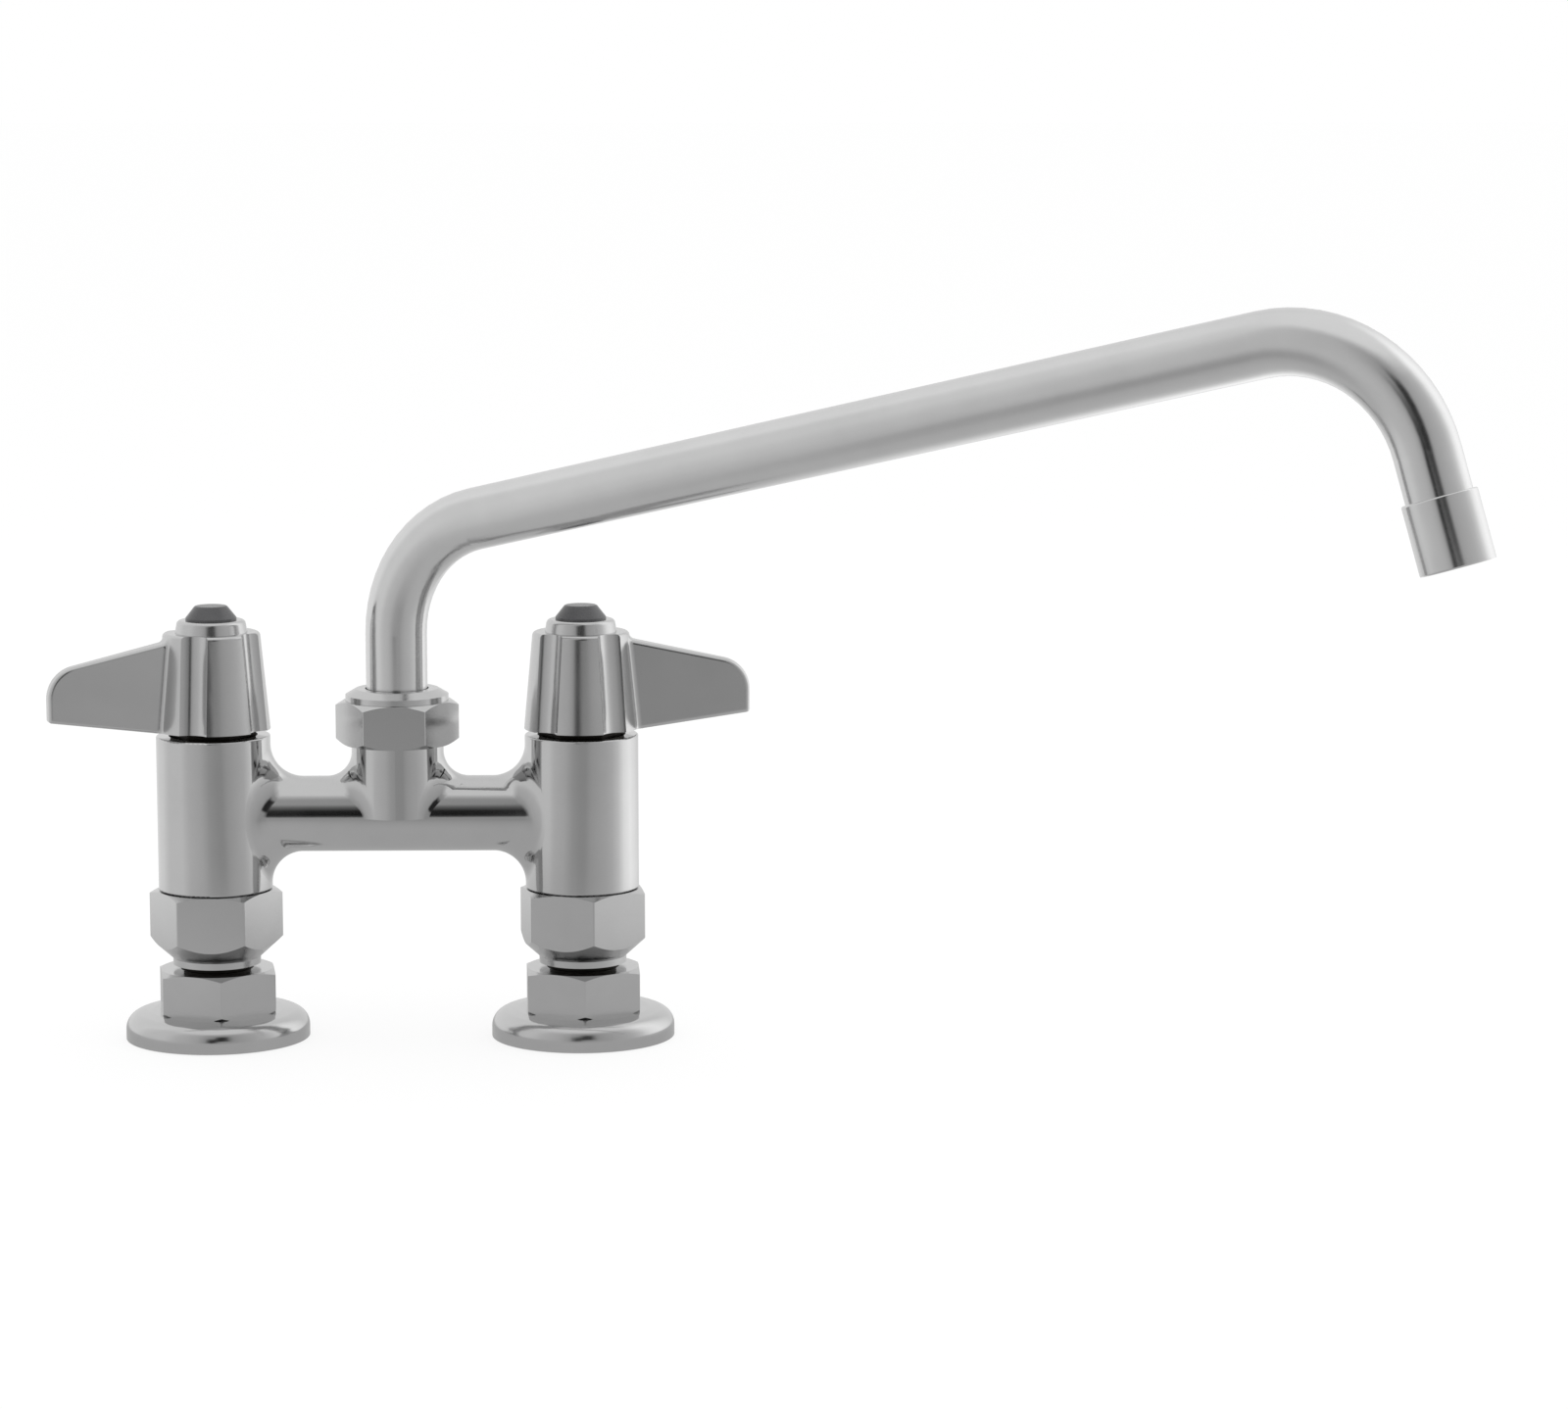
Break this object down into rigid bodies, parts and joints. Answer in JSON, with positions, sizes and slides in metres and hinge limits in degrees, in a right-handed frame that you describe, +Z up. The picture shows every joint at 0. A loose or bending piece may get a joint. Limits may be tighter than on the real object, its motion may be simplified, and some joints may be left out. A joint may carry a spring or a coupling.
{
  "type": "deck-mount faucet",
  "caption": "Deck-mount mixing faucet: a crossbar body on two flanged threaded supply legs, quarter-turn lever valves and a long tubular spout that swings between them.",
  "frame": {"origin": "on the deck, at the flanges' undersides, midway between the supply legs' axes", "axes": "+Z up, +X from the hot leg to the cold leg, the user stands on the -Y side"},
  "size_m": [0.3704, 0.1817, 0.2088],
  "materials": {
    "polished_chrome": "polished plating",
    "handle_chrome": "polished plating",
    "spout_chrome": "soft polished plating",
    "raw_brass": "turned",
    "stainless_steel": "plain",
    "black_rubber": "moulded",
    "white_ceramic": "lapped",
    "white_plastic": "moulded",
    "button_plastic": "moulded, bare"
  },
  "bodies": {
    "body": {"body_casting": "polished_chrome", "swivel_nut": "polished_chrome", "hot_inlet_flange": "polished_chrome", "hot_coupling_tail": "polished_chrome", "hot_coupling_washer": "black_rubber", "hot_coupling_nut": "polished_chrome", "hot_seat_seal": "black_rubber", "hot_fixed_disc": "white_ceramic", "hot_cartridge_housing": "raw_brass", "hot_housing_o_ring": "black_rubber", "hot_bonnet": "raw_brass", "cold_inlet_flange": "polished_chrome", "cold_coupling_tail": "polished_chrome", "cold_coupling_washer": "black_rubber", "cold_coupling_nut": "polished_chrome", "cold_seat_seal": "black_rubber", "cold_fixed_disc": "white_ceramic", "cold_cartridge_housing": "raw_brass", "cold_housing_o_ring": "black_rubber", "cold_bonnet": "raw_brass"},
    "hot_lever": {"hot_moving_disc": "white_ceramic", "hot_stem": "raw_brass", "hot_stem_o_rings": "black_rubber", "hot_stem_clip": "stainless_steel", "hot_lever_handle": "handle_chrome", "hot_handle_screw": "stainless_steel", "hot_index_button": "button_plastic"},
    "cold_lever": {"cold_moving_disc": "white_ceramic", "cold_stem": "raw_brass", "cold_stem_o_rings": "black_rubber", "cold_stem_clip": "stainless_steel", "cold_lever_handle": "handle_chrome", "cold_handle_screw": "stainless_steel", "cold_index_button": "button_plastic"},
    "spout": {"spout_sleeve": "raw_brass", "sleeve_o_rings": "black_rubber", "thrust_washer": "white_plastic", "spout_tube": "spout_chrome", "outlet_tip": "polished_chrome", "outlet_screen": "stainless_steel", "flow_straightener": "white_plastic", "outlet_washer": "black_rubber"}
  },
  "joints": [
    {"name": "hot_lever_turn", "type": "hinge", "parent": "body", "child": "hot_lever", "pos_m": [-0.0508, 0, 0.08], "axis": [0, 0, 1], "range_deg": [0, 90]},
    {"name": "cold_lever_turn", "type": "hinge", "parent": "body", "child": "cold_lever", "pos_m": [0.0508, 0, 0.08], "axis": [0, 0, 1], "range_deg": [-90, 0]},
    {"name": "spout_swing", "type": "hinge", "parent": "body", "child": "spout", "pos_m": [0, 0, 0.08], "axis": [0, 0, 1], "continuous": true}
  ]
}
